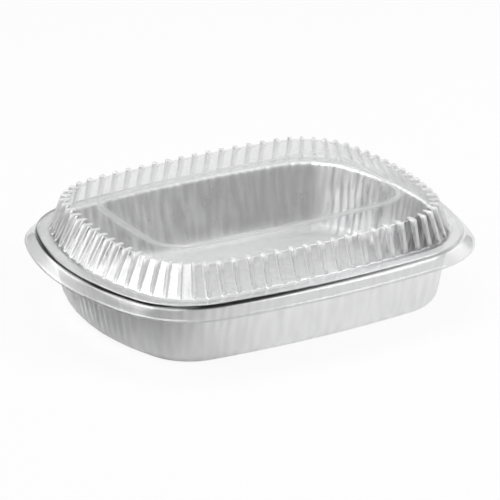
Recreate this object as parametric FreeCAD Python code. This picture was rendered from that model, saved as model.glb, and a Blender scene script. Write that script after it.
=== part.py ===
import FreeCAD, Part
import math
import os

# Foil food container with a clear dome lid, in millimetres.
# Origin at the middle of the base, +Z up, +X along the long side.
# A plan outline is a rectangle with bowed sides and round corners: eight arcs
# that meet smoothly. Every wall follows such an outline, some way in from it.

Vec = FreeCAD.Vector
UP = Vec(0, 0, 1)

# Foil container, measured in from the outer edge of its rim
RIM_LENGTH = 248.0
RIM_WIDTH = 191.0
SIDE_BOW_RADIUS = 620.0
END_BOW_RADIUS = 168.0
CORNER_RADIUS = 49.0
PAN_HEIGHT = 43.7
FOIL_THICKNESS = 0.25
FLANGE_WIDTH = 6.3
FLANGE_BEND = 1.1
WALL_LEAN = 7.3
BASE_EDGE_HEIGHT = 4.5
BASE_EDGE_RUN = 3.4

# Rolled edge of the rim
CURL_WIDTH = 2.4
CURL_HEIGHT = 3.0
CURL_CHAMFER = 0.7

# Creases pressed into the foil wall
CREASE_PITCH = 8.2
CREASE_DEPTH = 0.6
CREASE_DRIFT = 0.24

# Clear lid, its flange and its skirt
SEAT_GAP = 0.3
LID_THICKNESS = 0.4
SKIRT_GAP = 0.5
SKIRT_SHOULDER_RUN = 0.5
SKIRT_SHOULDER_DROP = 2.6
SKIRT_FLARE = 6.5
SKIRT_DROP = 5.4

# Dome of the lid, up to its shoulder and crown
DOME_INSET = 7.9
DOME_HEIGHT = 18.6
DOME_SIDE_LEAN = 7.0
DOME_END_LEAN = 11.9
SHOULDER_SIDE_BOW_RADIUS = 628.0
SHOULDER_END_BOW_RADIUS = 213.0
SHOULDER_CORNER_RADIUS = 39.0

# Ribs round the dome
RIB_PITCH = 9.6
RIB_WIDTH = 2.8
RIB_FOOT = 0.8
RIB_DEPTH = 3.2
RIB_RISE = 0.5
RIB_TAIL = 4.0

# Raised panel in the crown
PANEL_SIDE_MARGIN = 29.2
PANEL_END_MARGIN = 17.8
PANEL_SIDE_BOW_RADIUS = 890.0
PANEL_END_BOW_RADIUS = 400.0
PANEL_CORNER_RADIUS = 22.0
PANEL_RISE = 0.9
PANEL_SLOPE = 1.1

# How far a cutting body runs past the sheet that it opens
OVERRUN = 1.0

# Slack for a place that falls on the joint of two arcs
ANGLE_SLACK = 1e-7


class Plan:
    """Plan outline of eight arcs: end, corner, side, corner, and again."""

    def __init__(self, length, width, side_bow, end_bow, corner):
        half_length = length / 2
        half_width = width / 2
        side_centre = Vec(0, half_width - side_bow, 0)
        end_centre = Vec(half_length - end_bow, 0, 0)
        to_side = side_bow - corner
        to_end = end_bow - corner
        span = end_centre - side_centre
        along = (span.Length ** 2 + to_side ** 2 - to_end ** 2) / (2 * span.Length)
        across = math.sqrt(to_side ** 2 - along ** 2)
        step = span / span.Length
        corner_centre = side_centre + step * along + Vec(step.y, -step.x, 0) * across
        low = math.atan2(corner_centre.y, corner_centre.x - end_centre.x)
        high = math.atan2(corner_centre.y - side_centre.y, corner_centre.x)
        x, y = corner_centre.x, corner_centre.y
        pi = math.pi
        self.arcs = [
            (end_centre, end_bow, -low, low),
            (corner_centre, corner, low, high),
            (side_centre, side_bow, high, pi - high),
            (Vec(-x, y, 0), corner, pi - high, pi - low),
            (-end_centre, end_bow, pi - low, pi + low),
            (Vec(-x, -y, 0), corner, pi + low, pi + high),
            (-side_centre, side_bow, pi + high, 2 * pi - high),
            (Vec(x, -y, 0), corner, 2 * pi - high, 2 * pi - low),
        ]

    def point(self, arc, share, inset, z):
        centre, radius, start, end = self.arcs[arc]
        angle = start + share * (end - start)
        reach = radius - inset
        return Vec(centre.x + reach * math.cos(angle), centre.y + reach * math.sin(angle), z)

    def wire(self, inset, z):
        edges = []
        for arc in range(len(self.arcs)):
            ends = [self.point(arc, share, inset, z) for share in (0, 0.5, 1)]
            edges.append(Part.Arc(*ends).toShape())
        return Part.Wire(edges)

    def stations(self, pitch, inset):
        """Evenly spaced places, one per pitch: arc, share of it, share of one place."""
        places = []
        for arc, (_, radius, start, end) in enumerate(self.arcs):
            count = max(1, round((radius - inset) * (end - start) / pitch))
            places += [(arc, (step + 0.5) / count, 1 / count) for step in range(count)]
        return places


rim = Plan(RIM_LENGTH, RIM_WIDTH, SIDE_BOW_RADIUS, END_BOW_RADIUS, CORNER_RADIUS)

shoulder_length = RIM_LENGTH - 2 * (DOME_INSET + DOME_END_LEAN)
shoulder_width = RIM_WIDTH - 2 * (DOME_INSET + DOME_SIDE_LEAN)
shoulder = Plan(shoulder_length, shoulder_width, SHOULDER_SIDE_BOW_RADIUS,
                SHOULDER_END_BOW_RADIUS, SHOULDER_CORNER_RADIUS)

panel = Plan(shoulder_length - 2 * PANEL_END_MARGIN, shoulder_width - 2 * PANEL_SIDE_MARGIN,
             PANEL_SIDE_BOW_RADIUS, PANEL_END_BOW_RADIUS, PANEL_CORNER_RADIUS)


def loft(wires):
    return Part.makeLoft(wires, True, True)


def one_solid(shape):
    return shape.Solids[0]


def stack(plan, rings):
    """Solid through outlines of one plan, each given as (inset, height)."""
    return loft([plan.wire(inset, z) for inset, z in rings])


def sheet_section(line, thickness):
    """Closed section of a sheet whose outer face is a line of (inset, z) points."""
    offset = []
    for number, (x, z) in enumerate(line):
        before = line[max(number - 1, 0)]
        after = line[min(number + 1, len(line) - 1)]
        sides = []
        for (x0, z0), (x1, z1) in ((before, (x, z)), ((x, z), after)):
            length = math.hypot(x1 - x0, z1 - z0)
            if length > 0:
                sides.append(((z0 - z1) / length, (x1 - x0) / length))
        nx = sum(side[0] for side in sides) / len(sides)
        nz = sum(side[1] for side in sides) / len(sides)
        mitre = thickness / (nx * nx + nz * nz)
        offset.append((x + nx * mitre, z + nz * mitre))
    return line + offset[::-1]


def swept_ring(plan, section):
    """Ring whose closed section, in (inset, z) points, follows the whole outline."""
    pieces = []
    for arc, (centre, _, start, end) in enumerate(plan.arcs):
        corners = [plan.point(arc, 0, inset, z) for inset, z in section]
        face = Part.Face(Part.makePolygon(corners + corners[:1]))
        pieces.append(face.revolve(centre, UP, math.degrees(end - start)))
    return one_solid(pieces[0].multiFuse(pieces[1:]).removeSplitter())


# Foil container

def creased_wire(inset, z):
    """Zigzag outline of the foil's creases, uneven in spacing and in depth."""
    points = []
    places = rim.stations(CREASE_PITCH / 2, FLANGE_WIDTH + WALL_LEAN / 2)
    for number, (arc, share, cell) in enumerate(places):
        drift = CREASE_DRIFT * math.sin(2.4 * number) * cell
        swing = 0.62 + 0.38 * math.sin(1.7 * number)
        side = 1 if number % 2 else -1
        points.append(rim.point(arc, share + drift, inset + side * swing * CREASE_DEPTH, z))
    return Part.makePolygon(points + points[:1])


def tub(shrink):
    """Tapered, creased body of the container, with its faces moved in by shrink."""
    wall_top = FLANGE_WIDTH + FLANGE_BEND + shrink
    wall_base = wall_top + WALL_LEAN
    rings = [
        (wall_base + BASE_EDGE_RUN, shrink),
        (wall_base, shrink + BASE_EDGE_HEIGHT),
        (wall_top, PAN_HEIGHT - FLANGE_BEND - shrink),
        (FLANGE_WIDTH + shrink, PAN_HEIGHT),
    ]
    return loft([creased_wire(*ring) for ring in rings])


def rim_curl():
    """Rolled edge of the rim: the foil's edge turned under and in on itself."""
    bottom = PAN_HEIGHT - CURL_HEIGHT
    section = [
        (CURL_WIDTH, PAN_HEIGHT - FOIL_THICKNESS),
        (CURL_CHAMFER, PAN_HEIGHT),
        (0, PAN_HEIGHT - CURL_CHAMFER),
        (0, bottom + CURL_CHAMFER),
        (CURL_CHAMFER, bottom),
        (CURL_WIDTH, bottom + CURL_CHAMFER),
    ]
    return swept_ring(rim, section)


def foil_container():
    face = Part.Face(rim.wire(CURL_CHAMFER, PAN_HEIGHT - FOIL_THICKNESS))
    flange = face.extrude(UP * FOIL_THICKNESS)
    body = flange.multiFuse([rim_curl(), tub(0)]).cut(tub(FOIL_THICKNESS))
    return one_solid(body.removeSplitter())


# Clear lid

flange_z = PAN_HEIGHT + SEAT_GAP
flange_top = flange_z + LID_THICKNESS
crown_z = flange_top + DOME_HEIGHT


def lid_skirt():
    """Edge of the lid: over the rim, down beside it, then flared out."""
    knee_x = -(SKIRT_GAP + LID_THICKNESS + SKIRT_SHOULDER_RUN)
    knee_z = flange_top - SKIRT_SHOULDER_DROP
    line = [
        (0, flange_top),
        (-(SKIRT_GAP + LID_THICKNESS), flange_top),
        (knee_x, knee_z),
        (knee_x - SKIRT_FLARE, knee_z - SKIRT_DROP),
    ]
    return swept_ring(rim, sheet_section(line, LID_THICKNESS))


def straight_in(plan, arc, share, inset, z):
    """Point of a plan outline that lies straight in from a place at the dome's foot."""
    foot = rim.point(arc, share, DOME_INSET, 0)
    inward = foot - rim.point(arc, share, DOME_INSET - 1, 0)
    for centre, radius, start, end in plan.arcs:
        gap = foot - centre
        along = gap.dot(inward)
        square = along ** 2 - gap.Length ** 2 + (radius - inset) ** 2
        if square < 0:
            continue
        hit = foot - inward * (along + math.sqrt(square))
        turn = math.atan2(hit.y - centre.y, hit.x - centre.x) - start + ANGLE_SLACK
        if turn % (2 * math.pi) <= end - start + 2 * ANGLE_SLACK:
            return Vec(hit.x, hit.y, z)
    raise ValueError("the outline isn't reached from the dome's foot")


def faceted_solid(foot, top):
    """Solid between two outlines of as many corners, walled with flat triangles."""
    faces = [Part.Face(Part.makePolygon(ring + ring[:1])) for ring in (foot, top)]
    for number, (a, d) in enumerate(zip(foot, top)):
        b, c = foot[number - 1], top[number - 1]
        faces.append(Part.Face(Part.makePolygon([a, b, c, a])))
        faces.append(Part.Face(Part.makePolygon([a, c, d, a])))
    return Part.Solid(Part.Shell(faces))


def dome(shrink):
    """Plain body of the dome, with its faces moved in and down by shrink."""
    foot = []
    top = []
    for arc, share, cell in rim.stations(RIB_PITCH, DOME_INSET):
        corner = (arc, share - cell / 2)
        foot.append(rim.point(*corner, DOME_INSET + shrink, flange_z))
        top.append(straight_in(shoulder, *corner, shrink, crown_z - shrink))
    return faceted_solid(foot, top)


def rib(place, shrink):
    """One rib, deepest at its flat top, with its faces moved in by shrink."""
    arc, share, cell = place
    sides = (share - cell / 2, share + cell / 2)
    foot = sum((rim.point(arc, side, DOME_INSET, 0) for side in sides), Vec()) / 2
    head = sum((straight_in(shoulder, arc, side, 0, 0) for side in sides), Vec()) / 2
    run = (foot - head).Length
    out = (foot - head) / run
    profile = [
        (run + RIB_FOOT - shrink, flange_z),
        (RIB_DEPTH - shrink, crown_z + RIB_RISE - shrink),
        (-RIB_TAIL, crown_z - shrink),
        (-RIB_TAIL, crown_z - OVERRUN - shrink),
        (run - OVERRUN - shrink, flange_z),
    ]
    half = UP.cross(out) * (RIB_WIDTH / 2 - shrink)
    corners = [head - half + out * x + UP * z for x, z in profile]
    return Part.Face(Part.makePolygon(corners + corners[:1])).extrude(half * 2)


def ribs(shrink):
    return [rib(place, shrink) for place in rim.stations(RIB_PITCH, DOME_INSET)]


def crown_panel(shrink):
    return stack(panel, [
        (shrink, crown_z - OVERRUN - shrink),
        (shrink, crown_z - shrink),
        (PANEL_SLOPE + shrink, crown_z + PANEL_RISE - shrink),
    ])


def dome_lid():
    flange = Part.Face(rim.wire(-SKIRT_GAP / 2, flange_z)).extrude(UP * LID_THICKNESS)
    outside = flange.multiFuse([lid_skirt(), dome(0), crown_panel(0)] + ribs(0))
    hollow = dome(LID_THICKNESS).multiFuse([crown_panel(LID_THICKNESS)] + ribs(LID_THICKNESS))
    return one_solid(outside.cut(hollow).removeSplitter())


parts = {"foil_container": foil_container, "dome_lid": dome_lid}

os.makedirs("parts", exist_ok=True)
for name, build in parts.items():
    build().exportStep("parts/" + name + ".step")
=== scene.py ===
"""Foil food container with a clear dome lid: the looks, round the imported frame."""
import math

import bpy
import numpy as np
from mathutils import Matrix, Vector


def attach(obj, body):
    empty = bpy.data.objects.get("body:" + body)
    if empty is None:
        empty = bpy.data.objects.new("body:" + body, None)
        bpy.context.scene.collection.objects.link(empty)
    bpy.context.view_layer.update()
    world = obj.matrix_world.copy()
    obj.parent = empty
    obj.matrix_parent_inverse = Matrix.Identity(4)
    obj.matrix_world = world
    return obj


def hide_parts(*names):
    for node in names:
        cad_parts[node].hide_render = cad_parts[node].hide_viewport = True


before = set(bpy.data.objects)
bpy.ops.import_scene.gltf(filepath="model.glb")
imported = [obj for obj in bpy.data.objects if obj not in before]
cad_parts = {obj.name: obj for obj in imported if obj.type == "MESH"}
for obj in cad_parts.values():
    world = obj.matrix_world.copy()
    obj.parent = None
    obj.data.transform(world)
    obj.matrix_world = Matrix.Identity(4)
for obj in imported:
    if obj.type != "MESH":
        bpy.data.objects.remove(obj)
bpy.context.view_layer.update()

MM = 0.001
TINY = 1e-9
ANGLE_SLACK = 1e-7
UP = np.array([0, 0, 1.0])
LARGEST_SHARE = 0.48
rng = np.random.default_rng(7)

# Foil container, measured in from the outer edge of its rim, in millimetres
RIM = dict(length=248.0, width=191.0, side_bow=620.0, end_bow=168.0, corner=49.0)
PAN_HEIGHT = 43.7
FOIL_THICKNESS = 0.25
FLANGE_WIDTH = 6.3
FLANGE_BEND = 1.1
WALL_LEAN = 7.3
WALL_TOP = FLANGE_WIDTH + FLANGE_BEND
WALL_BASE = WALL_TOP + WALL_LEAN
BASE_EDGE_HEIGHT = 4.5
BASE_EDGE_RUN = 3.4
CURL_WIDTH = 2.4
CURL_HEIGHT = 3.0
CURL_ANGLES = np.radians(np.arange(75, -196, -30))
TRAY_COLUMNS = 1180
# Shares of a flat face's size at which its inner rows lie
MIDDLE_SHARE, INNER_SHARE, EDGE_SHARE = 0.02, 0.35, 0.93

# Folds of its wall and ripple of its flange
CREASE_PITCH = (4.4, 6.8)
CREASE_SWING = (0.25, 1.0)
CREASE_DEPTH = 0.6
CREASE_TOP_INSET = 2.8
CREASE_TOP_RUN = 4.5
CREASE_FOOT = 0.2
CREASE_FOOT_RUN = 5.0
LOW_CREASE_SHARE = 0.7
OUTER_CREASE_LOSS = 0.3
FINE_CREASE_SHARE = 0.25
CREASE_DRIFT = 0.5
RIPPLE_PITCH = 11.0
RIPPLE_DEPTH = 0.05

# Painted light and shade on the inner wall, standing in for uneven studio light in its
# reflections: arcs passed from the middle of the front right corner, share of tone
WALL_PAINTED_SHADING = [(0.0, 0.4), (0.4, 0.7), (0.8, 2.2), (1.2, 1.9), (1.5, 0.35), (2.0, 0.28),
               (2.15, 0.33), (2.5, 0.62), (2.75, 0.85), (2.95, 1.0), (3.5, 0.8)]
# Painted shade on the flange, darker towards the left end, and painted light and shade on the
# floor, darker towards the right end: millimetres from the middle along the long side, share of
# tone
FLANGE_PAINTED_SHADE = [(-110, 0.75), (-50, 0.8), (10, 1.0)]
FLOOR_PAINTED_SHADING = [(-90, 1.05), (50, 1.05), (85, 0.8), (110, 0.5)]

# Clear lid, measured in from the same edge
SEAT_GAP = 0.3
LID_THICKNESS = 0.4
SKIRT_GAP = 0.5
SKIRT_SHOULDER_RUN = 0.5
SKIRT_SHOULDER_DROP = 2.6
SKIRT_FLARE = 6.45
SKIRT_DROP = 5.4
DOME_INSET = 7.9
DOME_HEIGHT = 18.6
DOME_SIDE_LEAN = 7.0
DOME_END_LEAN = 11.9
FLANGE_ROW = 3.4
FLANGE_Z = PAN_HEIGHT + SEAT_GAP + LID_THICKNESS
CROWN_Z = FLANGE_Z + DOME_HEIGHT
SHOULDER_LENGTH = RIM["length"] - 2 * (DOME_INSET + DOME_END_LEAN)
SHOULDER_WIDTH = RIM["width"] - 2 * (DOME_INSET + DOME_SIDE_LEAN)
SHOULDER = dict(length=SHOULDER_LENGTH, width=SHOULDER_WIDTH, side_bow=628.0, end_bow=213.0,
                corner=39.0)

# Its ribs
RIB_PITCH = 9.6
RIB_WIDTH = 2.8
RIB_FOOT = 0.8
RIB_DEPTH = 3.2
RIB_RISE = 0.5
RIB_TAIL = 4.0
RIB_EDGE = 0.35
RIB_COLUMNS = np.array([0.8, 1.1, 1.4, 1.7, 3.0])
SLOT_ROW_SHARE = 0.8

# The panel in its crown, with a step round it
PANEL_SIDE_MARGIN = 29.2
PANEL_END_MARGIN = 17.8
PANEL = dict(length=SHOULDER_LENGTH - 2 * PANEL_END_MARGIN,
             width=SHOULDER_WIDTH - 2 * PANEL_SIDE_MARGIN,
             side_bow=890.0, end_bow=400.0, corner=22.0)
PANEL_RISE = 0.9
PANEL_SLOPE = 1.1
PANEL_ROW = 8.0
STEP_OUTSIDE = 6.5
STEP_RISE = 0.3
STEP_SLOPE = 1.2

# Its looks
SLANTED_TINT = (0.82, 0.825, 0.83, 1.0)
BEND_SCALE = 1.6
SHORTEST_STEP = 0.05
DIM_LINE_MIDDLE = 0.55
SKIRT_DIMMING = 0.3
LIP_DEPTH = 1.4
# Painted shade of the lid's lip, a dark line over the rolled rim, darkest towards the left end:
# millimetres from the middle along the long side, share
LIP_PAINTED_SHADE = [(-50, 1.0), (0, 0.5), (60, 0.1)]

# Studio
FLOOR_SIZE = 8.0
FLOOR_Z = -0.0001
FLOOR_WHITE = 0.87
FLOOR_MIRRORED_WHITE = 0.4
# Painted shade on the floor that gloss alone shows, dark patches at the left and front standing in
# for shade there: where each is full and gone, in metres
MIRRORED_SHADE_DARKNESS = 0.68
MIRRORED_SHADE_FADE_X = (-0.14, -0.03)
LEFT_MIRRORED_SHADE_X = (-0.165, -0.155)
FRONT_MIRRORED_SHADE_X = (-0.06, 0.02)
FRONT_MIRRORED_SHADE_Y = (-0.175, -0.16)
WORLD_LIGHT = 0.5
WORLD_MIRRORED = 0.08
# Pale walls of the studio that gloss shows: azimuth, elevation, inner and outer angle, strength
PALE_WALLS = [
    (-36, 6, 6, 24, 1.5),
    (92, 17, 8, 24, 1.6),
    (149, 22, 12, 30, 0.85),
    (-160, 36, 8, 20, 1.9),
    (0, 90, 20, 60, 0.7),
    (-146, 14, 9, 21, 4.2),
    (-109, 36, 17, 28, 5.6),
    (-60, 37, 15, 29, 4.2),
]

# The photo's camera, with distances in millimetres
PHOTO_WIDTH = 500
AZIMUTH = -30.86
ELEVATION = 22.13
DISTANCE = 2556.0
FOCAL_PIXELS = 4200.0
SIDE_STEP = 0.2
UP_STEP = 27.6
SENSOR = 36.0


# Plan outlines

def outline_arcs(length, width, side_bow, end_bow, corner):
    """Eight arcs of a bowed, rounded rectangle: centre x and y, radius, start and end angle."""
    a, b = length / 2, width / 2
    side = np.array([0.0, b - side_bow])
    end = np.array([a - end_bow, 0.0])
    to_side, to_end = side_bow - corner, end_bow - corner
    span = end - side
    reach = np.hypot(*span)
    along = (reach ** 2 + to_side ** 2 - to_end ** 2) / (2 * reach)
    across = math.sqrt(to_side ** 2 - along ** 2)
    step = span / reach
    x, y = side + step * along + np.array([step[1], -step[0]]) * across
    low = math.atan2(y, x - end[0])
    high = math.atan2(y - side[1], x)
    pi = math.pi
    return [
        (end[0], 0, end_bow, -low, low),
        (x, y, corner, low, high),
        (0, side[1], side_bow, high, pi - high),
        (-x, y, corner, pi - high, pi - low),
        (-end[0], 0, end_bow, pi - low, pi + low),
        (-x, -y, corner, pi + low, pi + high),
        (0, -side[1], side_bow, pi + high, 2 * pi - high),
        (x, -y, corner, 2 * pi - high, 2 * pi - low),
    ]


class Outline:
    """A plan outline, read at places given as arc numbers and shares of those arcs."""

    def __init__(self, **sizes):
        self.arcs = np.array(outline_arcs(**sizes))

    def at(self, places, inset, z):
        """Points at a height, some way in from the outline."""
        cx, cy, radius, start, end = self.arcs[places[0]].T
        angle = start + places[1] * (end - start)
        reach = radius - inset
        return np.stack([cx + reach * np.cos(angle), cy + reach * np.sin(angle),
                         np.zeros(len(cx)) + z], 1)

    def lengths(self, inset):
        return (self.arcs[:, 2] - inset) * (self.arcs[:, 4] - self.arcs[:, 3])

    def counts(self, pitch, inset):
        """How many cells of about this pitch each arc takes."""
        return np.maximum(1, np.round(self.lengths(inset) / pitch)).astype(int)

    def straight_in(self, feet, outward):
        """Points of the outline that lie straight in from others, at their height."""
        hits = np.array(feet)
        for cx, cy, radius, start, end in self.arcs:
            gap = feet - np.array([cx, cy, 0])
            gap[:, 2] = 0
            along = np.einsum("ck,ck->c", gap, outward)
            square = along ** 2 - np.einsum("ck,ck->c", gap, gap) + radius ** 2
            reach = along - np.sqrt(np.maximum(square, 0))
            hit = feet - outward * reach[:, None]
            turn = np.arctan2(hit[:, 1] - cy, hit[:, 0] - cx) - start + ANGLE_SLACK
            good = (square >= 0) & (turn % (2 * math.pi) <= end - start + 2 * ANGLE_SLACK)
            hits[good] = hit[good]
        return hits


rim = Outline(**RIM)
shoulder = Outline(**SHOULDER)
panel = Outline(**PANEL)


def outward_at(places):
    """Outward directions, square to the rim, at places round it."""
    return rim.at(places, 0, 0) - rim.at(places, 1, 0)


def inset_of(rows, places):
    """How far in from the rim's outer edge each point of these rows lies."""
    return np.einsum("rck,ck->rc", rim.at(places, 0, 0)[None] - rows, outward_at(places))


def places_round(counts, cell_shares):
    """Places round an outline, at these shares of each cell of each arc."""
    arcs, shares = [], []
    for arc, count in enumerate(counts):
        for step in range(count):
            arcs.append(np.full(len(cell_shares), arc))
            shares.append((step + cell_shares) / count)
    return np.concatenate(arcs), np.concatenate(shares)


# Rows and meshes

def mixed(points, others, share):
    return points + (others - points) * share


def toward(points, others, distance):
    """Points moved some way towards others, never past the middle."""
    gap = others - points
    length = np.linalg.norm(gap, axis=1, keepdims=True)
    return points + gap * np.minimum(distance / np.maximum(length, TINY), LARGEST_SHARE)


def drawn_in(points, share):
    """A row drawn in towards the middle of the plan."""
    return points * np.array([share, share, 1.0])


def rounded_rows(controls):
    """Rows through control rows, each given as (points, rounding, turns, runs after it)."""
    rows = []
    last = len(controls) - 1
    for k, (points, rounding, turns, runs) in enumerate(controls):
        start = points
        if rounding and 0 < k < last:
            before = toward(points, controls[k - 1][0], rounding)
            start = toward(points, controls[k + 1][0], rounding)
            for t in np.linspace(0, 1, turns + 1):
                rows.append((1 - t) ** 2 * before + 2 * t * (1 - t) * points + t * t * start)
        else:
            rows.append(points)
        if k < last:
            end = controls[k + 1][0]
            if controls[k + 1][1] and k + 1 < last:
                end = toward(end, points, controls[k + 1][1])
            rows += [start + (end - start) * j / runs for j in range(1, runs)]
    return rows


def closed_mesh(name, grid, shares):
    """Mesh of closed rows, drawn in to a point at both ends, with named shares at its points."""
    count, columns = grid.shape[:2]
    points = np.concatenate([grid.reshape(-1, 3), grid[0].mean(0)[None], grid[-1].mean(0)[None]])
    i = np.arange(count - 1)[:, None] * columns
    j = np.arange(columns)[None, :]
    k = (j + 1) % columns
    quads = np.stack([i + j, i + k, i + columns + k, i + columns + j], -1).reshape(-1, 4)
    first, final = count * columns, count * columns + 1
    base = (count - 1) * columns
    faces = quads.tolist()
    faces += [[first, (c + 1) % columns, c] for c in range(columns)]
    faces += [[final, base + c, base + (c + 1) % columns] for c in range(columns)]
    mesh = bpy.data.meshes.new(name)
    mesh.from_pydata((points * MM).tolist(), [], faces)
    for key, values in shares.items():
        attribute = mesh.attributes.new(key, "FLOAT", "POINT")
        ends = [values[0].mean(), values[-1].mean()]
        attribute.data.foreach_set("value", np.append(values.reshape(-1), ends))
    mesh.shade_smooth()
    piece = bpy.data.objects.new(name, mesh)
    bpy.context.collection.objects.link(piece)
    return piece


def sharpness(grid):
    """How sharply a surface of closed rows bends at each point, from 0 to 1."""
    around = np.roll(grid, -1, 1) - np.roll(grid, 1, 1)
    down = np.gradient(grid, axis=0)
    normal = np.cross(around, down)
    normal /= np.maximum(np.linalg.norm(normal, axis=2, keepdims=True), TINY)
    turn_around = np.linalg.norm(np.roll(normal, -1, 1) - np.roll(normal, 1, 1), axis=2)
    turn_down = np.linalg.norm(np.gradient(normal, axis=0), axis=2)
    step_around = np.maximum(np.linalg.norm(around, axis=2), SHORTEST_STEP)
    step_down = np.maximum(np.linalg.norm(down, axis=2), SHORTEST_STEP)
    bend = np.maximum(turn_around / step_around, turn_down / step_down)
    return np.clip(bend * BEND_SCALE, 0, 1)


def smooth_step(x):
    x = np.clip(x, 0, 1)
    return x * x * (3 - 2 * x)


def near(values, middle, half_width, edge):
    """1 close to a middle value, fading to 0 over an edge that ends at a half width."""
    return smooth_step((half_width - np.abs(values - middle)) / edge)


def shades_at(values, shades, **settings):
    return np.interp(values, *zip(*shades), **settings)


def smooth_noise(length, positions, pitch):
    """Smooth random values from -1 to 1 round a closed length."""
    count = max(4, round(length / pitch))
    knots = rng.uniform(-1, 1, count)
    x = positions / length * count
    k = np.floor(x).astype(int) % count
    f = smooth_step(x - np.floor(x))
    return knots[k] * (1 - f) + knots[(k + 1) % count] * f


# Foil container

def crease_line(length, positions):
    """Uneven folds round the wall, from -1 to 1."""
    knots = [0.0]
    while knots[-1] < length:
        knots.append(knots[-1] + rng.uniform(*CREASE_PITCH) / 2)
    knots = np.array(knots) * length / knots[-1]
    if len(knots) % 2 == 0:
        knots = np.delete(knots, 1)
    swing = rng.uniform(*CREASE_SWING, len(knots))
    heights = swing * np.where(np.arange(len(knots)) % 2, 1, -1)
    heights[-1] = heights[0]
    place = np.searchsorted(knots, positions, side="right") - 1
    place = np.clip(place, 0, len(knots) - 2)
    f = (positions - knots[place]) / (knots[place + 1] - knots[place])
    f = 0.6 * smooth_step(f) + 0.4 * f
    return heights[place] * (1 - f) + heights[place + 1] * f


def folds_at(heights, along, total):
    """Folds of the wall in rows at these heights: they drift and change a little on the way up."""
    low = crease_line(total, along)
    high = crease_line(total, along)
    fine = crease_line(total / 2, along / 2)
    folds = []
    for z in heights:
        mix = 0.18 + 0.2 * math.sin(z / 9.0)
        drift = CREASE_DRIFT * math.sin(z / 7.0)
        shifted = np.interp((along + drift) % total, along, low, period=total)
        folds.append(shifted * (1 - mix) + high * mix
                     + FINE_CREASE_SHARE * fine * math.sin(z / 5))
    return np.array(folds)


def tray_section(places):
    """Rows of the smooth tray, from its inner floor over the rim to its underside."""
    t = FOIL_THICKNESS
    half = CURL_HEIGHT / 2
    curl = []
    for angle in CURL_ANGLES:
        inset = CURL_WIDTH / 2 * (1 - math.cos(angle))
        z = PAN_HEIGHT - half + half * math.sin(angle)
        curl.append((rim.at(places, inset, z), 0, 0, 1))
    inner_floor = rim.at(places, WALL_BASE + BASE_EDGE_RUN + t, t)
    outer_floor = rim.at(places, WALL_BASE + BASE_EDGE_RUN, 0)
    return np.array(rounded_rows([
        (drawn_in(inner_floor, MIDDLE_SHARE), 0, 0, 1),
        (drawn_in(inner_floor, INNER_SHARE), 0, 0, 2),
        (drawn_in(inner_floor, EDGE_SHARE), 0, 0, 2),
        (inner_floor, 2.6, 4, 1),
        (rim.at(places, WALL_BASE + t, BASE_EDGE_HEIGHT + t), 3.0, 4, 14),
        (rim.at(places, WALL_TOP + t, PAN_HEIGHT - FLANGE_BEND), 1.4, 3, 1),
        (rim.at(places, FLANGE_WIDTH, PAN_HEIGHT), 1.0, 3, 3),
        (rim.at(places, CURL_WIDTH / 2, PAN_HEIGHT), 0, 0, 1),
        *curl,
        (rim.at(places, CURL_WIDTH, PAN_HEIGHT - t), 0, 0, 3),
        (rim.at(places, FLANGE_WIDTH + t, PAN_HEIGHT - t), 0.8, 2, 1),
        (rim.at(places, WALL_TOP, PAN_HEIGHT - FLANGE_BEND - t), 1.4, 3, 12),
        (rim.at(places, WALL_BASE, BASE_EDGE_HEIGHT), 3.0, 4, 1),
        (outer_floor, 2.6, 4, 1),
        (drawn_in(outer_floor, EDGE_SHARE), 0, 0, 1),
        (drawn_in(outer_floor, MIDDLE_SHARE), 0, 0, 1),
    ]))


def tray_painted_shade(places, rows, outside, on_floor, under_flange):
    """Painted light and shade at each point of the tray, as a share that multiplies its colour."""
    arc, share = places
    x, z = rows[:, :, 0], rows[:, :, 2]
    shade = shades_at(arc % 4 + share, WALL_PAINTED_SHADING, period=4)
    shade = 1 + (shade - 1) * smooth_step((PAN_HEIGHT - 0.5 - z) / 3.0)
    shade = mixed(shade, shades_at(x, FLOOR_PAINTED_SHADING), on_floor)
    shade = 1 + (shade - 1) * (1 - outside) * under_flange
    return shade * (1 + (shades_at(x, FLANGE_PAINTED_SHADE) - 1) * (1 - under_flange))


def tray_rows():
    """Rows of the whole tray, with the shares that its material reads."""
    inset = FLANGE_WIDTH + WALL_LEAN
    counts = rim.counts(rim.lengths(inset).sum() / TRAY_COLUMNS, inset)
    places = places_round(counts, np.array([0.0]))
    ring = rim.at(places, inset, 0)
    steps = np.linalg.norm(np.roll(ring, -1, 0) - ring, axis=1)
    along = np.concatenate([[0], np.cumsum(steps)[:-1]])
    total = steps.sum()

    rows = tray_section(places)
    inset = inset_of(rows, places)
    z = rows[:, :, 2].copy()
    outer = np.arange(len(rows)) > np.argmin(inset[:, 0])
    outside = np.repeat(outer.astype(float)[:, None], len(along), 1)
    on_wall = smooth_step((inset - CREASE_TOP_INSET) / CREASE_TOP_RUN)
    on_wall = on_wall * smooth_step((z - CREASE_FOOT) / CREASE_FOOT_RUN)
    on_wall = on_wall * (LOW_CREASE_SHARE + (1 - LOW_CREASE_SHARE) * smooth_step((z - 3) / 18))
    depth = CREASE_DEPTH * (1 - OUTER_CREASE_LOSS * outside)
    folds = folds_at(z[:, 0], along, total) * on_wall * depth
    rows[:, :, :2] += folds[:, :, None] * outward_at(places)[None, :, :2]
    on_flange = smooth_step((inset - 1.6) / 1.5) * (z > PAN_HEIGHT - 1.2)
    ripple = smooth_noise(total, along, RIPPLE_PITCH)
    rows[:, :, 2] -= on_flange * RIPPLE_DEPTH * (1 + ripple[None, :])

    on_floor = smooth_step((inset - WALL_BASE + 1.2) / 3.0) * (1 - outside)
    under_flange = smooth_step((PAN_HEIGHT - 0.3 - rows[:, :, 2]) / 2.0)
    shade = tray_painted_shade(places, rows, outside, on_floor, under_flange)
    matte = np.maximum(outside, 1 - under_flange)
    return rows, {"outside": matte, "floor": on_floor, "shade": shade}


# Clear lid

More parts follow.
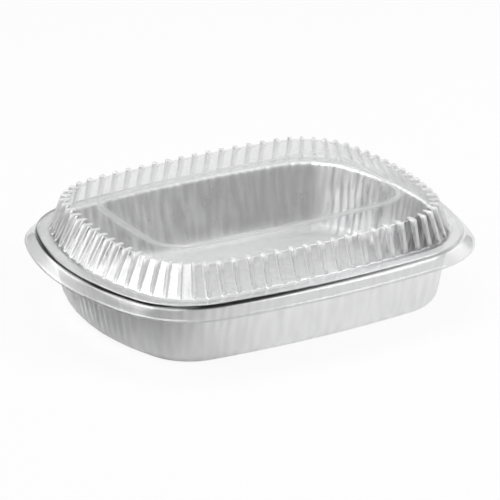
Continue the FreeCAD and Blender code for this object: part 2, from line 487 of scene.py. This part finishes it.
def offset_line(line, thickness):
    """A line of (inset, z) points moved to its inner side by a thickness."""
    normals = []
    for (x0, z0), (x1, z1) in zip(line, line[1:]):
        length = math.hypot(x1 - x0, z1 - z0)
        normals.append(((z1 - z0) / length, (x0 - x1) / length))
    moved = []
    for k, (x, z) in enumerate(line):
        nx, nz = np.mean(normals[max(k - 1, 0):k + 1], axis=0)
        mitre = thickness / (nx * nx + nz * nz)
        moved.append((x + nx * mitre, z + nz * mitre))
    return moved


def skirt_line(shrink):
    """The skirt's section as (inset, z) points: its edge, its knee and the flange's bend."""
    lip_x = -(SKIRT_GAP + LID_THICKNESS)
    knee_x = lip_x - SKIRT_SHOULDER_RUN
    knee_z = FLANGE_Z - SKIRT_SHOULDER_DROP
    line = [
        (knee_x - SKIRT_FLARE, knee_z - SKIRT_DROP),
        (knee_x, knee_z),
        (lip_x, FLANGE_Z),
        (DOME_INSET, FLANGE_Z),
    ]
    return offset_line(line, shrink)[:3]


def lid_side(places, across, shrink):
    """Rows of one face of the lid, from the edge of its skirt to the middle of its crown."""
    edge, knee, bend = [rim.at(places, *point) for point in skirt_line(shrink)]
    flange, crown = FLANGE_Z - shrink, CROWN_Z - shrink
    rib = near(across, 0, RIB_WIDTH / 2 - shrink + RIB_EDGE, 2 * RIB_EDGE)[:, None]
    foot = rim.at(places, DOME_INSET, flange)
    out = outward_at(places)
    head = shoulder.straight_in(foot, out) - out * shrink
    head[:, 2] = crown
    foot = foot - out * shrink
    crest = head + out * RIB_DEPTH + UP * RIB_RISE
    crest = mixed(mixed(foot, head, SLOT_ROW_SHARE), crest, rib)
    ridge_rise = RIB_RISE * RIB_TAIL / (RIB_TAIL + RIB_DEPTH)
    inner = panel.at(places, PANEL_SLOPE + PANEL_ROW, crown + PANEL_RISE)
    return rounded_rows([
        (edge, 0, 0, 3),
        (knee, 1.6, 3, 1),
        (bend, 0.9, 4, 2),
        (rim.at(places, DOME_INSET - FLANGE_ROW, flange), 0, 0, 1),
        (foot + out * (rib * RIB_FOOT), 0.8, 3, 5),
        (crest, 0.7, 3, 2),
        (head + UP * (rib * ridge_rise), 0.8, 3, 2),
        (head - out * RIB_TAIL, 1.2, 2, 2),
        (panel.at(places, shrink - STEP_OUTSIDE - STEP_SLOPE, crown), 0.5, 1, 1),
        (panel.at(places, shrink - STEP_OUTSIDE, crown + STEP_RISE), 0.5, 1, 2),
        (panel.at(places, shrink, crown + STEP_RISE), 0.5, 2, 1),
        (panel.at(places, shrink + PANEL_SLOPE, crown + PANEL_RISE), 0.5, 2, 2),
        (inner, 0, 0, 2),
        (drawn_in(inner, MIDDLE_SHARE), 0, 0, 1),
    ])


def rib_haze_and_painted_highlight(grid, places, across):
    """How far each point is on a rib, more than 1 at its top: milkiness that is partly the sheet's
    own haze and partly a painted reflection, with a painted highlight at the tops.
    """
    z = grid[:, :, 2]
    out = outward_at(places)
    head = shoulder.straight_in(rim.at(places, DOME_INSET, CROWN_Z), out)
    inside = np.einsum("rck,ck->rc", head[None] - grid, out)
    rib = near(across, 0, RIB_WIDTH / 2 + 0.3, 0.6)[None, :]
    rib = rib * smooth_step((z - FLANGE_Z) / 1.5) * smooth_step((RIB_TAIL - inside) / 2.0)
    return rib * (0.75 + 0.9 * smooth_step((z - CROWN_Z + 3.0) / 2.5))


def painted_dimming_share(grid, places):
    """How far each point is on the painted dark line at the panel's edge, with a part of that
    dimming over the skirt.
    """
    z = grid[:, :, 2]
    border = panel.at(places, 0, CROWN_Z)
    beyond = np.einsum("rck,ck->rc", grid - border[None], panel.at(places, -1, CROWN_Z) - border)
    painted_dimming = near(beyond, -DIM_LINE_MIDDLE, 1.6, 0.8) * (z > CROWN_Z - 0.6)
    return np.maximum(painted_dimming, SKIRT_DIMMING * (z < FLANGE_Z - SKIRT_SHOULDER_DROP))


def lip_painted_shade(grid, places):
    """How far each point is on the painted dark shade of the lip over the rolled rim, by that
    shade's darkness there.
    """
    lip = smooth_step(1.6 - np.abs(grid[:, :, 2] - (FLANGE_Z - LIP_DEPTH)) / 0.9)
    lip = lip * smooth_step((0.2 - inset_of(grid, places)) / 0.5)
    return lip * shades_at(grid[:, :, 0], LIP_PAINTED_SHADE)


def lid_rows():
    """Rows of the whole lid, with the shares that its material reads."""
    across = np.concatenate([[-RIB_PITCH / 2], -RIB_COLUMNS[::-1], [0], RIB_COLUMNS])
    counts = rim.counts(RIB_PITCH, DOME_INSET)
    places = places_round(counts, 0.5 + across / RIB_PITCH)
    across = np.tile(across, counts.sum())
    inner = lid_side(places, across, LID_THICKNESS)
    outer = lid_side(places, across, 0)
    grid = np.array(inner[::-1] + outer)
    return grid, {"rib": rib_haze_and_painted_highlight(grid, places, across), "bend": sharpness(grid),
                  "painted_dimming": painted_dimming_share(grid, places), "lip": lip_painted_shade(grid, places)}


# Materials

def grey(value, blue=0.0):
    """A grey, or one with a touch of blue."""
    return (value, value, value + blue, 1.0)


class Nodes:
    """The node tree of a material or a world, built a node at a time."""

    def __init__(self, owner):
        owner.use_nodes = True
        self.owner = owner
        self.tree = owner.node_tree
        self.tree.nodes.clear()

    def add(self, kind, inputs=None, **settings):
        node = self.tree.nodes.new(kind)
        for key, value in settings.items():
            setattr(node, key, value)
        for key, value in (inputs or {}).items():
            if isinstance(value, bpy.types.NodeSocket):
                self.tree.links.new(value, node.inputs[key])
            else:
                node.inputs[key].default_value = value
        return node

    def math(self, operation, *values):
        return self.add("ShaderNodeMath", dict(enumerate(values)), operation=operation).outputs[0]

    def place(self):
        return self.add("ShaderNodeTexCoord").outputs["Object"]

    def share(self, name):
        """A share that the mesh carries at its points."""
        return self.add("ShaderNodeAttribute", attribute_name=name).outputs["Fac"]

    def scaled(self, vector, scale):
        return self.add("ShaderNodeVectorMath", {0: vector, 1: scale},
                        operation="MULTIPLY").outputs[0]

    def noise(self, vector, scale, detail=2.0, roughness=0.5):
        node = self.add("ShaderNodeTexNoise", {"Vector": vector, "Scale": scale,
                                               "Detail": detail, "Roughness": roughness})
        return node.outputs["Fac"]

    def ranged(self, value, low, high, to_low, to_high):
        inputs = {"Value": value, "From Min": low, "From Max": high, "To Min": to_low,
                  "To Max": to_high}
        return self.add("ShaderNodeMapRange", inputs).outputs[0]

    def colours(self, factor, a, b, **settings):
        node = self.add("ShaderNodeMix", {"Factor": factor, "A": a, "B": b}, data_type="RGBA",
                        **settings)
        return node.outputs["Result"]

    def shaders(self, factor, a, b):
        return self.add("ShaderNodeMixShader", {0: factor, 1: a, 2: b}).outputs[0]

    def even_colour(self, value):
        return self.add("ShaderNodeCombineColor", {0: value, 1: value, 2: value}).outputs[0]

    def finish(self, surface, output="ShaderNodeOutputMaterial"):
        out = self.add(output)
        self.tree.links.new(surface, out.inputs["Surface"])
        return self.owner


def foil_material():
    """Creased foil: shiny inside, duller outside, on the flange and on the floor, with painted
    light and shade by place.
    """
    n = Nodes(bpy.data.materials.new("foil"))
    place = n.place()
    outside, on_floor = n.share("outside"), n.share("floor")
    streaks = n.noise(n.scaled(place, (1.0, 1.0, 0.02)), 230.0, 0.6)
    fine = n.noise(n.scaled(place, (1.0, 1.0, 0.35)), 420.0, 1.0)
    patches = n.noise(place, 70.0, 1.5)
    tone = n.ranged(n.math("MULTIPLY_ADD", patches, 0.25, streaks), 0.45, 0.8, 0.0, 1.0)
    shiny = n.colours(tone, grey(0.25, 0.005), grey(0.64, 0.005))
    matte = n.colours(tone, grey(0.86, 0.005), grey(0.92, 0.005))
    pale = n.math("MAXIMUM", outside, on_floor)
    # Painted light and shade: the foil's colour is multiplied by a share set by place.
    colour = n.colours(1.0, n.colours(pale, shiny, matte), n.even_colour(n.share("shade")),
                       blend_type="MULTIPLY", clamp_result=True)
    rough = n.ranged(n.math("ADD", fine, patches), 0.7, 1.3, 0.27, 0.4)
    rough = n.math("MULTIPLY_ADD", pale, 0.16, rough)
    height = n.math("MULTIPLY_ADD", fine, 0.05, streaks)
    depth = n.math("MULTIPLY_ADD", outside, -0.6, 0.8)
    bump = n.add("ShaderNodeBump", {"Strength": depth, "Distance": 0.0016, "Height": height})
    metallic = n.math("MULTIPLY_ADD", on_floor, -0.85, 1.0)
    shader = n.add("ShaderNodeBsdfPrincipled", {"Base Color": colour, "Roughness": rough,
                                                "Metallic": metallic, "Normal": bump.outputs[0]})
    return n.finish(shader.outputs[0])


def plastic_material():
    """Thin clear sheet: dimmer and hazier at a slant, milky on the ribs with a painted highlight
    at their tops, painted dark lines at its bends, a painted milky, dimmed line at the panel's
    edge, a dimmer skirt and a painted dark shade at the lip.
    """
    n = Nodes(bpy.data.materials.new("clear_plastic"))
    waves = n.noise(n.place(), 60.0)
    bump = n.add("ShaderNodeBump", {"Strength": 0.1, "Distance": 0.0008, "Height": waves})
    facing = n.add("ShaderNodeLayerWeight", {"Blend": 0.5, "Normal": bump.outputs[0]})
    edge = facing.outputs["Facing"]
    bend, painted_dimming = n.share("bend"), n.share("painted_dimming")
    mirror = n.math("MULTIPLY_ADD", n.math("POWER", edge, 4.0), 0.75, 0.045)
    mirror = n.math("MULTIPLY_ADD", bend, 0.05, mirror)
    # Painted dark lines: the sheet is tinted darker at its bends and along the panel's edge,
    # standing in for how these bend light.
    dim = n.math("MULTIPLY_ADD", bend, 0.12, n.math("POWER", edge, 3.0))
    dim = n.math("MAXIMUM", dim, painted_dimming)
    tint = n.colours(dim, grey(0.985), SLANTED_TINT)
    # Painted shade: the lip is tinted near black along a line over the rolled rim.
    tint = n.colours(n.math("MULTIPLY", n.share("lip"), 0.95), tint, grey(0.02))
    clear = n.add("ShaderNodeBsdfTransparent", {"Color": tint})
    haze = n.add("ShaderNodeBsdfDiffuse", {"Color": grey(0.92)})
    glow = n.add("ShaderNodeBsdfTranslucent", {"Color": grey(0.92)})
    milky = n.shaders(0.3, haze.outputs[0], glow.outputs[0])
    cloudy = n.math("MULTIPLY_ADD", edge, 0.05, 0.02)
    # Painted milky line along the panel's edge, and a little milkiness over the skirt.
    cloudy = n.math("MULTIPLY_ADD", painted_dimming, 0.4, cloudy)
    # Milky ribs: partly the sheet's own haze, partly a painted reflection, with a painted
    # highlight at their tops.
    cloudy = n.math("MULTIPLY_ADD", n.share("rib"), 0.5, cloudy)
    gloss = n.add("ShaderNodeBsdfGlossy", {
        "Color": grey(1.0), "Roughness": n.ranged(waves, 0.3, 0.7, 0.05, 0.12),
        "Normal": bump.outputs[0]})
    body = n.shaders(cloudy, clear.outputs[0], milky)
    return n.finish(n.shaders(mirror, body, gloss.outputs[0]))


def floor_material():
    """Pale floor, near white to the camera, with painted shade on it that gloss alone shows."""
    n = Nodes(bpy.data.materials.new("floor"))
    path = n.add("ShaderNodeLightPath").outputs
    place = n.place()
    axes = n.add("ShaderNodeSeparateXYZ", {0: place}).outputs
    x, y = axes["X"], axes["Y"]
    # Painted shade seen in gloss alone: the floor glows less and darkens towards the left end, and
    # darkens in two patches at the left and the front.
    mirrored = n.ranged(x, *MIRRORED_SHADE_FADE_X, 0.0, FLOOR_MIRRORED_WHITE)
    mirrored = n.math("MULTIPLY", path["Is Glossy Ray"], mirrored)
    seen = n.math("MAXIMUM", path["Is Camera Ray"], path["Is Transmission Ray"])
    seen = n.math("MAXIMUM", seen, mirrored)
    left = n.ranged(x, *LEFT_MIRRORED_SHADE_X, 1.0, 0.0)
    front = n.math("MULTIPLY", n.ranged(y, *FRONT_MIRRORED_SHADE_Y, 1.0, 0.0),
                   n.ranged(x, *FRONT_MIRRORED_SHADE_X, 1.0, 0.0))
    mirrored_shade = n.ranged(x, *MIRRORED_SHADE_FADE_X, MIRRORED_SHADE_DARKNESS, 0.0)
    mirrored_shade = n.math("MAXIMUM", mirrored_shade, n.math("MAXIMUM", left, front))
    dark = n.math("MULTIPLY", path["Is Glossy Ray"], mirrored_shade)
    tone = n.ranged(n.noise(place, 3.0), 0.3, 0.7, 0.91, 0.93)
    tone = n.math("MULTIPLY", tone, n.math("SUBTRACT", 1.0, dark))
    matte = n.add("ShaderNodeBsdfDiffuse", {"Color": n.even_colour(tone)})
    white = n.add("ShaderNodeEmission", {"Color": grey(1.0), "Strength": 1.0})
    share = n.math("MULTIPLY", seen, FLOOR_WHITE)
    return n.finish(n.shaders(share, matte.outputs[0], white.outputs[0]))


# Pieces

tray = closed_mesh("foil_tray", *tray_rows())
tray.data.materials.append(foil_material())
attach(tray, "container")
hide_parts("foil_container")

lid = closed_mesh("clear_lid", *lid_rows())
lid.data.materials.append(plastic_material())
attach(lid, "lid")
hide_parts("dome_lid")


# Floor, world and lamps

def direction(azimuth, elevation):
    a, e = math.radians(azimuth), math.radians(elevation)
    return Vector((math.sin(a) * math.cos(e), -math.cos(a) * math.cos(e), math.sin(e)))


def studio_floor():
    mesh = bpy.data.meshes.new("floor")
    s = FLOOR_SIZE
    corners = [(-s, -s, FLOOR_Z), (s, -s, FLOOR_Z), (s, s, FLOOR_Z), (-s, s, FLOOR_Z)]
    mesh.from_pydata(corners, [], [(0, 1, 2, 3)])
    plane = bpy.data.objects.new("floor", mesh)
    bpy.context.collection.objects.link(plane)
    mesh.materials.append(floor_material())


def white_world():
    """Even light, white to the camera, with paler and darker walls in reflections."""
    n = Nodes(bpy.data.worlds.new("studio"))
    path = n.add("ShaderNodeLightPath").outputs
    look = n.add("ShaderNodeTexCoord").outputs["Generated"]
    mirrored = WORLD_MIRRORED
    for azimuth, elevation, inner, outer, strength in PALE_WALLS:
        dot = n.add("ShaderNodeVectorMath", {0: look, 1: direction(azimuth, elevation)},
                    operation="DOT_PRODUCT").outputs["Value"]
        low, high = math.cos(math.radians(outer)), math.cos(math.radians(inner))
        wall = n.add("ShaderNodeMapRange", {"Value": dot, "From Min": low, "From Max": high,
                                            "To Min": 0.0, "To Max": strength},
                     interpolation_type="SMOOTHSTEP").outputs[0]
        mirrored = n.math("ADD", wall, mirrored)
    clear = n.math("MAXIMUM", path["Is Camera Ray"], path["Is Transmission Ray"])
    shown = n.math("MAXIMUM", clear, n.math("MULTIPLY", path["Is Glossy Ray"], mirrored))
    lit = n.math("SUBTRACT", 1.0, n.math("MAXIMUM", clear, path["Is Glossy Ray"]))
    strength = n.math("MULTIPLY_ADD", lit, WORLD_LIGHT, shown)
    light = n.add("ShaderNodeBackground", {"Color": grey(1.0), "Strength": strength})
    bpy.context.scene.world = n.finish(light.outputs[0], "ShaderNodeOutputWorld")


def softbox(name, azimuth, elevation, distance, size, radiance):
    """A square lamp that looks at the object from a direction."""
    data = bpy.data.lights.new(name, "AREA")
    data.shape = "SQUARE"
    data.size = size
    data.energy = radiance * math.pi * size * size
    lamp = bpy.data.objects.new(name, data)
    bpy.context.collection.objects.link(lamp)
    back = direction(azimuth, elevation)
    lamp.location = back * distance + Vector((0, 0, 0.03))
    lamp.rotation_mode = "QUATERNION"
    lamp.rotation_quaternion = (-back).to_track_quat("-Z", "Y")


studio_floor()
white_world()
softbox("key", 42, 36, 1.8, 0.9, 4.2)
softbox("left", -100, 38, 1.6, 0.6, 3.0)
softbox("top", 170, 78, 1.6, 0.9, 2.6)


# Camera

def photo_camera():
    data = bpy.data.cameras.new("camera")
    data.sensor_width = SENSOR
    data.lens = FOCAL_PIXELS / PHOTO_WIDTH * SENSOR
    camera = bpy.data.objects.new("camera", data)
    bpy.context.collection.objects.link(camera)
    back = direction(AZIMUTH, ELEVATION)
    turn = (-back).to_track_quat("-Z", "Y")
    camera.rotation_mode = "QUATERNION"
    camera.rotation_quaternion = turn
    right, up = turn @ Vector((1, 0, 0)), turn @ Vector((0, 1, 0))
    camera.location = (back * DISTANCE + right * SIDE_STEP + up * UP_STEP) * MM
    data.clip_start, data.clip_end = 0.1, 50.0
    bpy.context.scene.camera = camera


photo_camera()

scene = bpy.context.scene
scene.view_settings.view_transform = "Standard"
scene.cycles.transparent_max_bounces = 32

for piece in (tray, lid):
    print(piece.name, sum(len(p.vertices) - 2 for p in piece.data.polygons), "triangles")
